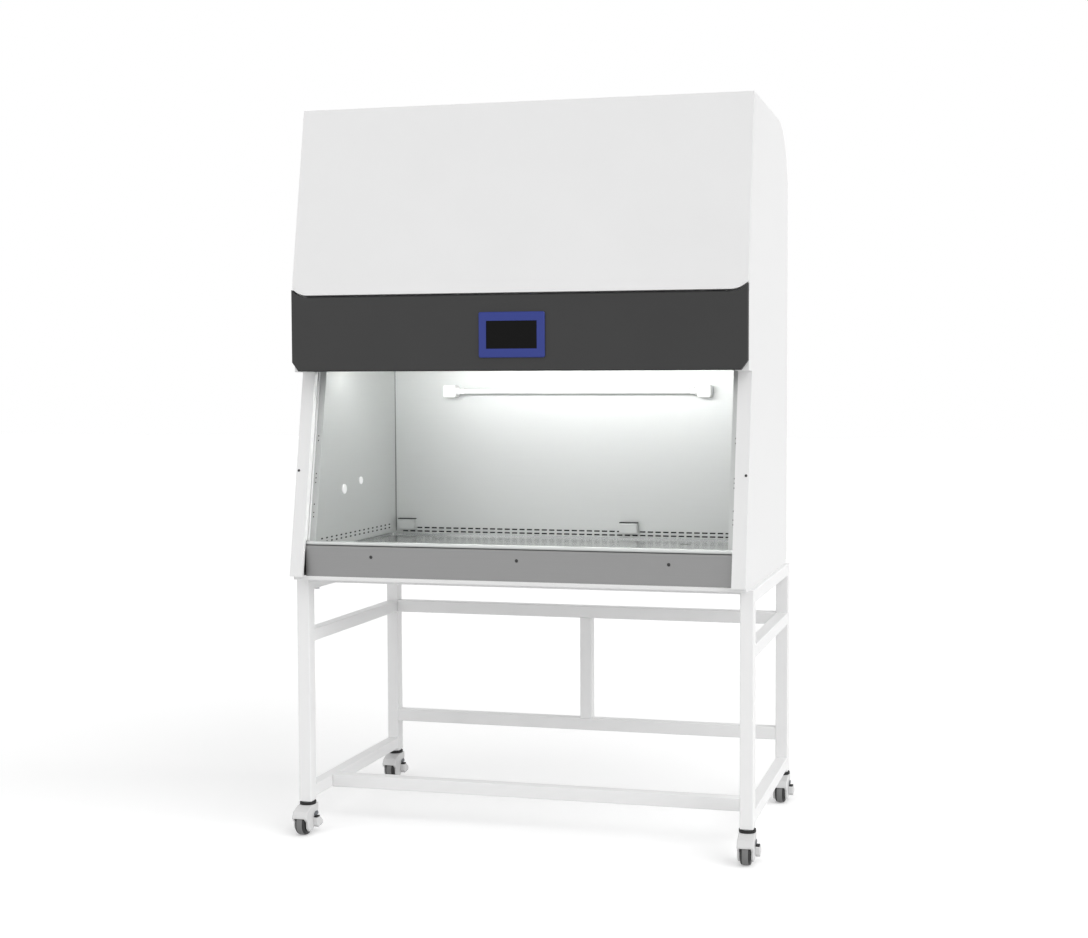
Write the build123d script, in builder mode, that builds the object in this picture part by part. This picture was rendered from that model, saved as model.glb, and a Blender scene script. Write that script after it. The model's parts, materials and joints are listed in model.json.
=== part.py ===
from build123d import *
import os
from math import cos, radians, sin, tan

# A free-standing biosafety cabinet on a castored stand.
# Millimetres; X runs to the right, Y to the back and Z up. The origin is on the floor under the middle.
os.makedirs("parts", exist_ok=True)

# ---- Driving dimensions --------------------------------------------------------------------------

CABINET_WIDTH = 1383
CABINET_DEPTH = 820
CABINET_TOP = 2205
SLOPE = 10                    # the whole front leans back by this many degrees
SHEET = 2                     # folded steel sheet
STAND_TOP = 788               # the cabinet stands on the frame at this height
BASE_PLATE_TOP = 800
HOOD_BOTTOM = 1414            # underside of the control band
BAND_TOP = 1635
HOOD_FRONT = 375              # distance of the band's face in front of the middle
REAR_CORNER_R = 220           # the casing's rounded top rear corner
SIDE_PAN_DEPTH = 40           # each side is a folded pan this deep
CHAMBER_HALF_WIDTH = 632
CHAMBER_REAR = 276
CHAMBER_CEILING = 1475
WORK_HEIGHT = 872
TRAY_BOTTOM = 868
PAN_RETURN = 18               # how far the band's and the cover's edges fold back
SASH_REST = 1420              # the raised glass ends here, just above the band's lower edge
SASH_SETBACK = 25
SASH_LENGTH = 520
SASH_THICKNESS = 6
GUIDE_HALF_DEPTH = 13
TUBE = 40                     # square tube of the stand
TUBE_WALL = 2
TUBE_CORNER = 3
STAND_HALF_WIDTH = 704
LEG_FRONT = 337
LEG_REAR = 400
LEG_BOTTOM = 100
CASTER_WHEEL_R = 37.5
CASTER_TRAIL = 28
RUNNING_GAP = 0.06            # radial play of every turning pin

HALF_WIDTH = CABINET_WIDTH / 2
REAR = CABINET_DEPTH / 2
SIDE_INNER = HALF_WIDTH - SIDE_PAN_DEPTH
LEAN = tan(radians(SLOPE))
SLOPE_COS = cos(radians(SLOPE))
SLOPE_SIN = sin(radians(SLOPE))
LEG_X = STAND_HALF_WIDTH - TUBE / 2
LEG_Y = (-LEG_FRONT + TUBE / 2, LEG_REAR - TUBE / 2)
SIDES = {"left": -1, "right": 1}


def finish(piece, name):
    """Name a finished sub-part and write it."""
    piece.part.label = name
    export_step(piece.part, f"parts/{name}.step")


def frame_y(z):
    """Y of the side frames' leaning front face at a height."""
    return -REAR + (z - BASE_PLATE_TOP) * LEAN


def hood_y(z, setback=0):
    """Y of the cover's leaning face at a height."""
    return -HOOD_FRONT + setback + (z - BAND_TOP) * LEAN


def leaning_plane(y, z):
    """A plane that lies in the leaning front: local x is X, local y runs up it, local z points out."""
    return Plane(origin=(0, y, z), x_dir=(1, 0, 0), z_dir=(0, -SLOPE_COS, SLOPE_SIN))


def crossing_plane(y, z):
    """A plane square to the leaning front: extrusions from it run up the slope."""
    return Plane(origin=(0, y, z), x_dir=(1, 0, 0), z_dir=(0, SLOPE_SIN, SLOPE_COS))


# ---- Stand ---------------------------------------------------------------------------------------

TOP_RAIL_Z = STAND_TOP - TUBE / 2 + 1
MID_RAIL_Z = 608
LOW_RAIL_Z = 127
REAR_LOW_RAIL_Z = 225
FOOT_RAIL_Y = -160
STRUT_X = 15


RAIL = TUBE - 2               # the side frames' rails are a little slimmer than their legs


def make_side_frame(name, side):
    """Two legs and three rails, welded into one ladder frame."""
    x = side * LEG_X
    rail_start = Plane.XZ.offset(-LEG_Y[0])
    rail_length = LEG_Y[1] - LEG_Y[0]
    leg_length = STAND_TOP - LEG_BOTTOM
    rail_places = [(x, z) for z in (TOP_RAIL_Z, MID_RAIL_Z, LOW_RAIL_Z)]
    leg_places = [(x, y) for y in LEG_Y]
    with BuildPart() as frame:
        with BuildSketch(Plane.XY.offset(LEG_BOTTOM)):
            with Locations(*leg_places):
                RectangleRounded(TUBE, TUBE, TUBE_CORNER)
        extrude(amount=leg_length)
        with BuildSketch(rail_start):
            with Locations(*rail_places):
                RectangleRounded(RAIL, RAIL, TUBE_CORNER)
        extrude(amount=-rail_length)
        with BuildSketch(rail_start):
            with Locations(*rail_places):
                Rectangle(RAIL - 2 * TUBE_WALL, RAIL - 2 * TUBE_WALL)
        extrude(amount=-rail_length, mode=Mode.SUBTRACT)
        with BuildSketch(Plane.XY.offset(LEG_BOTTOM)):
            with Locations(*leg_places):
                Rectangle(TUBE - 2 * TUBE_WALL, TUBE - 2 * TUBE_WALL)
        extrude(amount=leg_length - TUBE_WALL, mode=Mode.SUBTRACT)
    finish(frame, name)


def make_tube(name, plane, length):
    """A straight square tube that starts on a plane and runs along its normal."""
    with BuildPart() as tube:
        with BuildSketch(plane):
            RectangleRounded(TUBE, TUBE, TUBE_CORNER)
            Rectangle(TUBE - 2 * TUBE_WALL, TUBE - 2 * TUBE_WALL, mode=Mode.SUBTRACT)
        extrude(amount=length)
    finish(tube, name)


def make_cross_rails():
    """The rails that join the two side frames, and the strut between the two at the back."""
    start = -LEG_X + TUBE / 2
    span = 2 * (LEG_X - TUBE / 2)
    for name, y, z in (
        ("stand_rear_rail_upper", LEG_Y[1], MID_RAIL_Z),
        ("stand_rear_rail_lower", LEG_Y[1], REAR_LOW_RAIL_Z),
        ("stand_foot_rail", FOOT_RAIL_Y, LOW_RAIL_Z),
    ):
        make_tube(name, Plane(origin=(start, y, z), x_dir=(0, 1, 0), z_dir=(1, 0, 0)), span)
    strut_bottom = REAR_LOW_RAIL_Z + TUBE / 2
    strut_top = MID_RAIL_Z - TUBE / 2
    make_tube("stand_center_strut", Plane(origin=(STRUT_X, LEG_Y[1], strut_bottom)), strut_top - strut_bottom)


def make_top_rails():
    """Two flat cross bars between the side frames, which the base plate rests on."""
    bar_height = 12
    bar_depth = 30
    with BuildPart() as bars:
        with Locations(*[(0, y, STAND_TOP - bar_height / 2) for y in LEG_Y]):
            Box(2 * (LEG_X - TUBE / 2), bar_depth, bar_height)
    finish(bars, "stand_top_rails")


def make_stand_bolts():
    """Four hexagon bolts that hold the cabinet down on the side frames' top rails."""
    head_flats = 17
    head_height = 7
    bolt_y = 240
    with BuildPart() as bolts:
        with BuildSketch(Plane.XY.offset(STAND_TOP - RAIL - head_height)):
            with GridLocations(2 * LEG_X, 2 * bolt_y, 2, 2):
                RegularPolygon(head_flats / 2, 6, major_radius=False)
        extrude(amount=head_height)
    finish(bolts, "stand_bolts")


# ---- Castors -------------------------------------------------------------------------------------

RING_TOP = 97
RING_HEIGHT = 8
RING_R = 25
STEM_R = 6
STEM_BOTTOM = 76
END_PLAY = 0.4
FORK_TOP = RING_TOP - RING_HEIGHT - END_PLAY
FORK_HALF_WIDTH = 24
FORK_GAP_HALF = 17
FORK_SLOT_R = 40.5
AXLE_R = 4
WHEEL_WIDTH = 30
HUB_WIDTH = 32.4
PEDAL_PIN_R = 3
PEDAL_PIN = (-4, 40)          # along the trail and up, in the castor's own frame
PEDAL_WIDTH = 14
PEDAL_GAP = 0.6
# where each castor stands and how far its trail is turned from straight ahead, in degrees
CASTERS = {
    "front_left": (-1, 0, 0),
    "front_right": (1, 0, 3),
    "rear_left": (-1, 1, 0),
    "rear_right": (1, 1, 0),
}


def caster_plane(place):
    """The castor's own frame: origin on the floor under its stem, local -y towards its wheel."""
    side, row, turn = CASTERS[place]
    axis = Plane(origin=(side * LEG_X, LEG_Y[row], 0))
    return axis.rotated((0, 0, turn))


def caster_side_plane(place, offset=0):
    """The plane of a castor's wheel: local x points back from the wheel, local y up."""
    base = caster_plane(place)
    origin = base.origin + base.x_dir * offset
    return Plane(origin=origin, x_dir=base.y_dir, z_dir=base.x_dir)


def make_stems():
    """Leg plugs with the stems that the castors turn on."""
    plug_size = TUBE - 2 * TUBE_WALL - 0.4
    plug_height = 30
    flange_r = 19
    with BuildPart() as stems:
        with GridLocations(2 * LEG_X, LEG_Y[1] - LEG_Y[0], 2, 2):
            with Locations((0, (LEG_Y[0] + LEG_Y[1]) / 2, 0)):
                with Locations((0, 0, LEG_BOTTOM + plug_height / 2)):
                    Box(plug_size, plug_size, plug_height)
                with Locations((0, 0, (LEG_BOTTOM + RING_TOP) / 2)):
                    Cylinder(flange_r, LEG_BOTTOM - RING_TOP)
                with Locations((0, 0, (LEG_BOTTOM + STEM_BOTTOM) / 2)):
                    Cylinder(STEM_R, LEG_BOTTOM - STEM_BOTTOM)
    finish(stems, "caster_stems")


def make_seal_rings():
    """Black rings that cover the swivel bearings."""
    with BuildPart() as rings:
        with BuildSketch(Plane.XY.offset(RING_TOP - RING_HEIGHT)):
            with Locations((0, (LEG_Y[0] + LEG_Y[1]) / 2)):
                with GridLocations(2 * LEG_X, LEG_Y[1] - LEG_Y[0], 2, 2):
                    Circle(RING_R)
                    Circle(STEM_R + RUNNING_GAP, mode=Mode.SUBTRACT)
        extrude(amount=RING_HEIGHT)
    finish(rings, "caster_seal_rings")


def fork_outline(plane):
    """Side view of the moulded hood, from its round head down over the wheel to the axle."""
    with BuildSketch(plane) as outline:
        with BuildLine():
            Polyline((-24, FORK_TOP), (24, FORK_TOP), (24, 66), (2, 32), (-12, 12), (-38, 12), (-50, 24),
                     (-52, 44), (-67, 58), (-54, 77), (-24, FORK_TOP))
        make_face()
        fillet([corner for corner in outline.vertices() if corner.Y < FORK_TOP - 1], radius=8)
    return outline.sketch


def make_fork(name, place):
    """Swivelling hood of a castor, with its wheel's axle and its pedal's pin moulded in."""
    base = caster_plane(place)
    with BuildPart() as fork:
        extrude(fork_outline(caster_side_plane(place, -FORK_HALF_WIDTH)), amount=2 * FORK_HALF_WIDTH)
        cheek_edges = fork.edges().group_by(Axis(base.origin, base.x_dir))
        fillet(cheek_edges[0] + cheek_edges[-1], radius=3)
        with BuildSketch(caster_side_plane(place)):
            with Locations((-CASTER_TRAIL, CASTER_WHEEL_R)):
                Circle(FORK_SLOT_R)
        extrude(amount=FORK_GAP_HALF, both=True, mode=Mode.SUBTRACT)
        with BuildSketch(base.offset(STEM_BOTTOM - END_PLAY)):
            Circle(STEM_R + RUNNING_GAP)
        extrude(amount=FORK_TOP - STEM_BOTTOM + 1, mode=Mode.SUBTRACT)
        with BuildSketch(caster_side_plane(place)):
            with Locations((-CASTER_TRAIL, CASTER_WHEEL_R)):
                Circle(AXLE_R)
        extrude(amount=FORK_HALF_WIDTH - 1, both=True)
        with BuildSketch(caster_side_plane(place, FORK_HALF_WIDTH - 2)):
            with Locations(PEDAL_PIN):
                Circle(PEDAL_PIN_R)
        extrude(amount=PEDAL_WIDTH)
    finish(fork, name)


HUB_R = 12
WEB_R = 24
WEB_INSET = 3
TREAD_FLAT = 5                # half width of the tread's flat middle
TREAD_STEPS = ((1, 10), (4, 15))   # how far the crowned tread falls, and how far from the middle


def make_wheel(name, place):
    """Wheel with a crowned tread bonded to its hub."""
    half = WHEEL_WIDTH / 2
    web = half - WEB_INSET
    hub = HUB_WIDTH / 2
    bore = AXLE_R + RUNNING_GAP
    base = caster_plane(place)
    center = base.origin - base.y_dir * CASTER_TRAIL + base.z_dir * CASTER_WHEEL_R
    side = [(bore, hub), (HUB_R, hub), (HUB_R, web), (WEB_R, web), (WEB_R, half)]
    side += [(CASTER_WHEEL_R - fall, reach) for fall, reach in reversed(TREAD_STEPS)]
    side += [(CASTER_WHEEL_R, TREAD_FLAT)]
    mirrored = [(radius, -along) for radius, along in side]
    # local x runs out along the radius, local y along the axle
    section = Plane(origin=center, x_dir=base.z_dir, z_dir=-base.y_dir)
    with BuildPart() as wheel:
        with BuildSketch(section):
            with BuildLine():
                Polyline(*mirrored, *reversed(side), mirrored[0])
            make_face()
        revolve(axis=Axis(center, section.y_dir))
    finish(wheel, name)


def make_pedal(name, place):
    """Foot pedal of the wheel brake, turning on its pin beside the hood."""
    with BuildPart() as pedal:
        with BuildSketch(caster_side_plane(place, FORK_HALF_WIDTH + PEDAL_GAP)):
            with BuildLine():
                Polyline((-16, 50), (6, 50), (24, 36), (24, 26), (-6, 18), (-16, 28), (-16, 50))
            make_face()
            fillet(vertices(), radius=4)
        extrude(amount=PEDAL_WIDTH)
        base = caster_plane(place)
        fillet(pedal.edges().group_by(Axis(base.origin, base.x_dir))[-1], radius=3)
        with BuildSketch(caster_side_plane(place, FORK_HALF_WIDTH)):
            with Locations(PEDAL_PIN):
                Circle(PEDAL_PIN_R + RUNNING_GAP)
        extrude(amount=PEDAL_WIDTH - 1, mode=Mode.SUBTRACT)
    finish(pedal, name)


# ---- Outer casing --------------------------------------------------------------------------------


TOP_CHAMFER = 4               # clears the cover as it swings up


def side_outline(plane, inset=0):
    """Outline of a casing side, seen along X: leaning front, stepped hood and rounded rear corner."""
    hood_back = PAN_RETURN + SHEET
    with BuildSketch(plane) as outline:
        with BuildLine():
            Polyline(
                (REAR, CABINET_TOP - REAR_CORNER_R),
                (REAR, BASE_PLATE_TOP),
                (-REAR, BASE_PLATE_TOP),
                (frame_y(HOOD_BOTTOM - SHEET), HOOD_BOTTOM - SHEET),
                (-HOOD_FRONT + PAN_RETURN, HOOD_BOTTOM - SHEET),
                (-HOOD_FRONT + PAN_RETURN, BAND_TOP),
                (-HOOD_FRONT + hood_back, BAND_TOP),
                (hood_y(CABINET_TOP - TOP_CHAMFER, hood_back), CABINET_TOP - TOP_CHAMFER),
                (hood_y(CABINET_TOP, hood_back + TOP_CHAMFER), CABINET_TOP),
                (REAR - REAR_CORNER_R, CABINET_TOP),
            )
            RadiusArc((REAR - REAR_CORNER_R, CABINET_TOP), (REAR, CABINET_TOP - REAR_CORNER_R), REAR_CORNER_R)
        make_face()
        if inset:
            offset(amount=-inset, kind=Kind.INTERSECTION)
    return outline.sketch


def make_side_panel(name, side):
    """Outer side: a pan of sheet open towards the chamber; its front edge turns in to the guide."""
    inner = Plane.YZ.offset(side * SIDE_INNER)
    turn = (SASH_SETBACK - GUIDE_HALF_DEPTH) / SLOPE_COS
    front = [(frame_y(z), z) for z in (BASE_PLATE_TOP, HOOD_BOTTOM - SHEET)]
    with BuildPart() as panel:
        extrude(side_outline(inner), amount=side * SIDE_PAN_DEPTH)
        extrude(side_outline(inner, SHEET), amount=side * (SIDE_PAN_DEPTH - SHEET), mode=Mode.SUBTRACT)
        with BuildSketch(inner):
            with BuildLine():
                Polyline(front[0], front[1], (front[1][0] + turn, front[1][1]),
                         (front[0][0] + turn, front[0][1]), front[0])
            make_face()
        extrude(amount=side * SHEET)
    finish(panel, name)


TOP_PANEL_FRONT = -242
EXHAUST_Y = -20
EXHAUST_SIZE = (460, 240)
EXHAUST_CORNER_R = 10


def make_top_panel():
    """Top sheet, which curves down over the rear corner; it has the exhaust opening."""
    flat_end = REAR - REAR_CORNER_R
    arc_end = CABINET_TOP - REAR_CORNER_R
    flange = 18
    with BuildPart() as top:
        with BuildSketch(Plane.YZ):
            with BuildLine():
                Line((TOP_PANEL_FRONT, CABINET_TOP), (flat_end, CABINET_TOP))
                RadiusArc((flat_end, CABINET_TOP), (REAR, arc_end), REAR_CORNER_R)
                Line((REAR, arc_end), (REAR - SHEET, arc_end))
                RadiusArc((REAR - SHEET, arc_end), (flat_end, CABINET_TOP - SHEET), -(REAR_CORNER_R - SHEET))
                Polyline((flat_end, CABINET_TOP - SHEET), (TOP_PANEL_FRONT + SHEET, CABINET_TOP - SHEET),
                         (TOP_PANEL_FRONT + SHEET, CABINET_TOP - flange),
                         (TOP_PANEL_FRONT, CABINET_TOP - flange), (TOP_PANEL_FRONT, CABINET_TOP))
            make_face()
        extrude(amount=SIDE_INNER, both=True)
        with BuildSketch(Plane.XY.offset(CABINET_TOP)):
            with Locations((0, EXHAUST_Y)):
                RectangleRounded(*EXHAUST_SIZE, EXHAUST_CORNER_R)
        extrude(amount=-2 * SHEET, mode=Mode.SUBTRACT)
    finish(top, "top_panel")


INLET_X = 480
INLET_Z = 1750
INLET_SIZE = (48, 28)


def make_rear_panel():
    """Flat rear sheet with folded upright edges and the cut-out for the power inlet."""
    fold = 15
    height = CABINET_TOP - REAR_CORNER_R - BASE_PLATE_TOP
    with BuildPart() as rear:
        with BuildSketch(Plane.XY.offset(BASE_PLATE_TOP)):
            with Locations((0, REAR - SHEET / 2)):
                Rectangle(2 * SIDE_INNER, SHEET)
            with Locations(*[(s * (SIDE_INNER - SHEET / 2), REAR - fold / 2) for s in (-1, 1)]):
                Rectangle(SHEET, fold)
        extrude(amount=height)
        with BuildSketch(Plane.XZ.offset(-REAR)):
            with Locations((INLET_X, INLET_Z)):
                Rectangle(*INLET_SIZE)
        extrude(amount=2 * SHEET, mode=Mode.SUBTRACT)
    finish(rear, "rear_panel")


INLET_RECESS = (32, 20)
INLET_PIN = (2, 5)
INLET_PINS = ((-8, 0), (0, 4), (8, 0))


def make_power_inlet():
    """Appliance inlet in the rear panel, with its three-pin recess."""
    flange = 6
    plate = 2
    depth = 24
    recess = 14
    corner_r = 4
    with BuildPart() as inlet:
        with Locations((INLET_X, REAR - SHEET - plate / 2, INLET_Z)):
            Box(INLET_SIZE[0] + 2 * flange, plate, INLET_SIZE[1] + 2 * flange)
        with Locations((INLET_X, REAR - depth / 2, INLET_Z)):
            Box(INLET_SIZE[0], depth, INLET_SIZE[1])
        with BuildSketch(Plane.XZ.offset(-REAR)):
            with Locations((INLET_X, INLET_Z)):
                RectangleRounded(*INLET_RECESS, corner_r)
        extrude(amount=recess, mode=Mode.SUBTRACT)
        with BuildSketch(Plane.XZ.offset(-REAR + recess)):
            with Locations(*[(INLET_X + x, INLET_Z + z) for x, z in INLET_PINS]):
                Rectangle(*INLET_PIN)
        extrude(amount=plate - recess)
    finish(inlet, "power_inlet")


BASE_FRONT = -384


def make_base_plate():
    """Folded base plate: its thin front edge shows under the lower panel."""
    depth = REAR - SHEET - BASE_FRONT
    height = BASE_PLATE_TOP - STAND_TOP
    rim = 40
    with BuildPart() as base:
        with Locations((0, BASE_FRONT + depth / 2, STAND_TOP + height / 2)):
            Box(2 * (HALF_WIDTH - SHEET), depth, height)
        edges = base.edges().filter_by(Axis.X).group_by(Axis.Y)[0]
        fillet(edges, radius=2)
        with Locations((0, BASE_FRONT + depth / 2, STAND_TOP + (height - SHEET) / 2)):
            Box(2 * (LEG_X - TUBE / 2) - 2, depth - 2 * rim, height - SHEET, mode=Mode.SUBTRACT)
    finish(base, "base_plate")


# ---- Hood: control band, display and hinged cover ------------------------------------------------

BAND_CHAMFER = (20, 27)
HORN = (50, 22)               # the band's top corners rise into the cover's rounded lower corners
HORN_R = (HORN[0] ** 2 + HORN[1] ** 2) / (2 * HORN[1])
SEAM = 5.5                    # open joint between the band and the cover


def band_outline(plane, inset=0):
    """Front view of the control band, drawn from its middle lower edge."""
    w = HALF_WIDTH
    top = BAND_TOP - HOOD_BOTTOM
    with BuildSketch(plane) as outline:
        with BuildLine():
            Line((-w + HORN[0], top), (w - HORN[0], top))
            RadiusArc((w - HORN[0], top), (w, top + HORN[1]), -HORN_R)
            Polyline((w, top + HORN[1]), (w, BAND_CHAMFER[1]), (w - BAND_CHAMFER[0], 0),
                     (-w + BAND_CHAMFER[0], 0), (-w, BAND_CHAMFER[1]), (-w, top + HORN[1]))
            RadiusArc((-w, top + HORN[1]), (-w + HORN[0], top), -HORN_R)
        make_face()
        if inset:
            offset(amount=-inset, kind=Kind.INTERSECTION)
    return outline.sketch


DISPLAY_SIZE = (200, 132)
DISPLAY_Z = 1518
DISPLAY_CUT = (180, 112)
SCREEN_SIZE = (154, 81)


def make_control_band():
    """Dark front band of the hood, with a lower flange that reaches back to the sash slot."""
    face = Plane(origin=(0, -HOOD_FRONT, HOOD_BOTTOM), x_dir=(1, 0, 0), z_dir=(0, -1, 0))
    flange_depth = frame_y(HOOD_BOTTOM) + HOOD_FRONT
    with BuildPart() as band:
        extrude(band_outline(face), amount=-PAN_RETURN)
        extrude(band_outline(face.offset(-SHEET), SHEET), amount=-PAN_RETURN, mode=Mode.SUBTRACT)
        with Locations((0, -HOOD_FRONT + flange_depth / 2, HOOD_BOTTOM + SHEET / 2)):
            Box(2 * SIDE_INNER, flange_depth, SHEET)
        with BuildSketch(face):
            with Locations((0, DISPLAY_Z - HOOD_BOTTOM)):
                Rectangle(*DISPLAY_CUT)
        extrude(amount=-SHEET, mode=Mode.SUBTRACT)
    finish(band, "control_band")


def make_display():
    """Display frame with its housing behind the band, and the screen in the frame's recess."""
    proud = 6
    recess = 3
    depth = 40
    with BuildPart() as bezel:
        with Locations((0, -HOOD_FRONT - proud / 2, DISPLAY_Z)):
            Box(DISPLAY_SIZE[0], proud, DISPLAY_SIZE[1])
        fillet(bezel.edges().filter_by(Axis.Y), radius=6)
        chamfer(bezel.faces().sort_by(Axis.Y)[0].outer_wire().edges(), length=2)
        with Locations((0, -HOOD_FRONT + depth / 2, DISPLAY_Z)):
            Box(DISPLAY_CUT[0], depth, DISPLAY_CUT[1])
        with Locations((0, -HOOD_FRONT - proud + recess / 2, DISPLAY_Z)):
            Box(SCREEN_SIZE[0], recess, SCREEN_SIZE[1], mode=Mode.SUBTRACT)
    finish(bezel, "display_bezel")
    with BuildPart() as screen:
        with Locations((0, -HOOD_FRONT - proud + recess - 1, DISPLAY_Z)):
            Box(SCREEN_SIZE[0], 2, SCREEN_SIZE[1])
    finish(screen, "display_screen")


HINGE = (-252, 2201)          # Y and Z of the cover's hinge line
HINGE_ROD_R = 3
KNUCKLE_R = 5.5
KNUCKLE_LENGTH = 60
KNUCKLE_X = (-400, 0, 400)


def cover_outline(plane, inset=0):
    """Front view of the hood's cover, drawn up the slope from the seam over the band."""
    w = HALF_WIDTH
    top = (CABINET_TOP - BAND_TOP - SEAM) / SLOPE_COS
    with BuildSketch(plane) as outline:
        with BuildLine():
            Line((-w + HORN[0], 0), (w - HORN[0], 0))
            RadiusArc((w - HORN[0], 0), (w, HORN[1]), -HORN_R)
            Polyline((w, HORN[1]), (w, top), (-w, top), (-w, HORN[1]))
            RadiusArc((-w, HORN[1]), (-w + HORN[0], 0), -HORN_R)
        make_face()
        if inset:
            offset(amount=-inset, kind=Kind.INTERSECTION)
    return outline.sketch


def make_front_cover():
    """Hinged cover over the fan and filters: a folded pan with three hinge knuckles along its top."""
    face = leaning_plane(hood_y(BAND_TOP + SEAM), BAND_TOP + SEAM)
    with BuildPart() as cover:
        extrude(cover_outline(face), amount=-PAN_RETURN)
        extrude(cover_outline(face.offset(-SHEET), SHEET), amount=-PAN_RETURN, mode=Mode.SUBTRACT)
        for x in KNUCKLE_X:
            with BuildSketch(Plane.YZ.offset(x - KNUCKLE_LENGTH / 2)):
                with Locations(HINGE):
                    Circle(KNUCKLE_R)
            extrude(amount=KNUCKLE_LENGTH)
        with BuildSketch(Plane.YZ.offset(-HALF_WIDTH)):
            with Locations(HINGE):
                Circle(HINGE_ROD_R + RUNNING_GAP)
        extrude(amount=CABINET_WIDTH, mode=Mode.SUBTRACT)
    finish(cover, "front_cover")


def make_hinge_rod():
    """Hinge rod of the cover, held by ears that stand on the top panel's front fold."""
    reach = KNUCKLE_X[-1] + KNUCKLE_LENGTH / 2 + 12
    ear_width = 8
    ears = [s * (x + KNUCKLE_LENGTH / 2 + 6) for x in (0, KNUCKLE_X[-1]) for s in (-1, 1)]
    with BuildPart() as rod:
        with BuildSketch(Plane.YZ.offset(-reach)):
            with Locations(HINGE):
                Circle(HINGE_ROD_R)
        extrude(amount=2 * reach)
        with Locations(*[(x, (HINGE[0] + TOP_PANEL_FRONT) / 2, HINGE[1] - 4) for x in ears]):
            Box(ear_width, TOP_PANEL_FRONT - HINGE[0], 13)
    finish(rod, "cover_hinge_rod")


# ---- Chamber -------------------------------------------------------------------------------------

SLOT_PITCH = 26
SLOT_SIZE = (19, 5)
SLOT_ROWS = (880, 892)
WALL_FRONT_SETBACK = (SASH_SETBACK + GUIDE_HALF_DEPTH) / SLOPE_COS


def make_inner_rear_wall():
    """Rear wall of the chamber, with two rows of return-air slots and a ledge for the work surface."""
    height = CHAMBER_CEILING - BASE_PLATE_TOP
    row_gap = SLOT_ROWS[1] - SLOT_ROWS[0]
    count = int(2 * (CHAMBER_HALF_WIDTH - 15) / SLOT_PITCH)
    ledge = 60
    with BuildPart() as wall:
        with Locations((0, CHAMBER_REAR + SHEET / 2, BASE_PLATE_TOP + height / 2)):
            Box(2 * CHAMBER_HALF_WIDTH, SHEET, height)
        with Locations((0, CHAMBER_REAR - ledge / 2, TRAY_BOTTOM - SHEET / 2)):
            Box(2 * CHAMBER_HALF_WIDTH, ledge, SHEET)
        with BuildSketch(Plane.XZ.offset(-CHAMBER_REAR)):
            with Locations((0, sum(SLOT_ROWS) / 2)):
                with GridLocations(SLOT_PITCH, row_gap, count, 2):
                    Rectangle(*SLOT_SIZE)
        extrude(amount=-SHEET, mode=Mode.SUBTRACT)
    finish(wall, "inner_rear_wall")


PORTS = ((-145, 1048, 15), (-17, 1068, 12))   # Y, Z and flange radius
PORT_BORE_R = 10
SIDE_SLOT_PITCH = 35
SIDE_SLOT_SIZE = (14, 5)
SIDE_SLOT_ROWS = (895, 906)
RAIL_HOLES = (975, 988, 1013, 1078, 1092, 1105, 1205, 1219)
RAIL_HOLE = 4
RAIL_HOLE_X = 644.5


def make_inner_side_wall(name, side):
    """Side wall of the chamber with return-air slots; its front edge turns out to the sash guide."""
    slots_y = (-320, 230)
    count = int((slots_y[1] - slots_y[0]) / SIDE_SLOT_PITCH) + 1
    front = [(frame_y(z) + WALL_FRONT_SETBACK, z) for z in (BASE_PLATE_TOP, CHAMBER_CEILING)]
    with BuildPart() as wall:
        with BuildSketch(Plane.YZ.offset(side * CHAMBER_HALF_WIDTH)):
            with BuildLine():
                Polyline(front[0], front[1], (CHAMBER_REAR, CHAMBER_CEILING), (CHAMBER_REAR, BASE_PLATE_TOP),
                         front[0])
            make_face()
            with Locations((sum(slots_y) / 2, sum(SIDE_SLOT_ROWS) / 2)):
                with GridLocations(SIDE_SLOT_PITCH, SIDE_SLOT_ROWS[1] - SIDE_SLOT_ROWS[0], count, 2):
                    Rectangle(*SIDE_SLOT_SIZE, mode=Mode.SUBTRACT)
            if side < 0:
                with Locations(*[(y, z) for y, z, r in PORTS]):
                    Circle(PORT_BORE_R, mode=Mode.SUBTRACT)
        extrude(amount=side * SHEET)
        with BuildSketch(Plane.YZ.offset(side * CHAMBER_HALF_WIDTH)):
            with BuildLine():
                Polyline(front[0], front[1], (front[1][0] + SHEET, front[1][1]),
                         (front[0][0] + SHEET, front[0][1]), front[0])
            make_face()
        extrude(amount=side * (SIDE_INNER - CHAMBER_HALF_WIDTH))
        with Locations(*[(side * RAIL_HOLE_X, frame_y(z) + WALL_FRONT_SETBACK, z) for z in RAIL_HOLES]):
            Box(RAIL_HOLE, 4 * SHEET, RAIL_HOLE, mode=Mode.SUBTRACT)
    finish(wall, name)


def make_port_plugs():
    """White plugs in the service ports of the left wall."""
    flange = 3
    depth = 10
    with BuildPart() as plugs:
        for y, z, radius in PORTS:
            with BuildSketch(Plane.YZ.offset(-CHAMBER_HALF_WIDTH)):
                with Locations((y, z)):
                    Circle(radius)
            extrude(amount=flange)
            with BuildSketch(Plane.YZ.offset(-CHAMBER_HALF_WIDTH)):
                with Locations((y, z)):
                    Circle(PORT_BORE_R - RUNNING_GAP)
            extrude(amount=-depth)
    finish(plugs, "service_port_plugs")


GRILLE_REAR = -292
LIP_Y = -372
LIP_Z = 899
LIP_R = 7


GRILLE_SHEET = 3
GRILLE_DROP = 881.5           # underside of the sloping sheet at its rear bend
GRILLE_SLOT = (8, 44)
GRILLE_SLOT_PITCH = 22
GRILLE_SLOTS = 56


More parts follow.
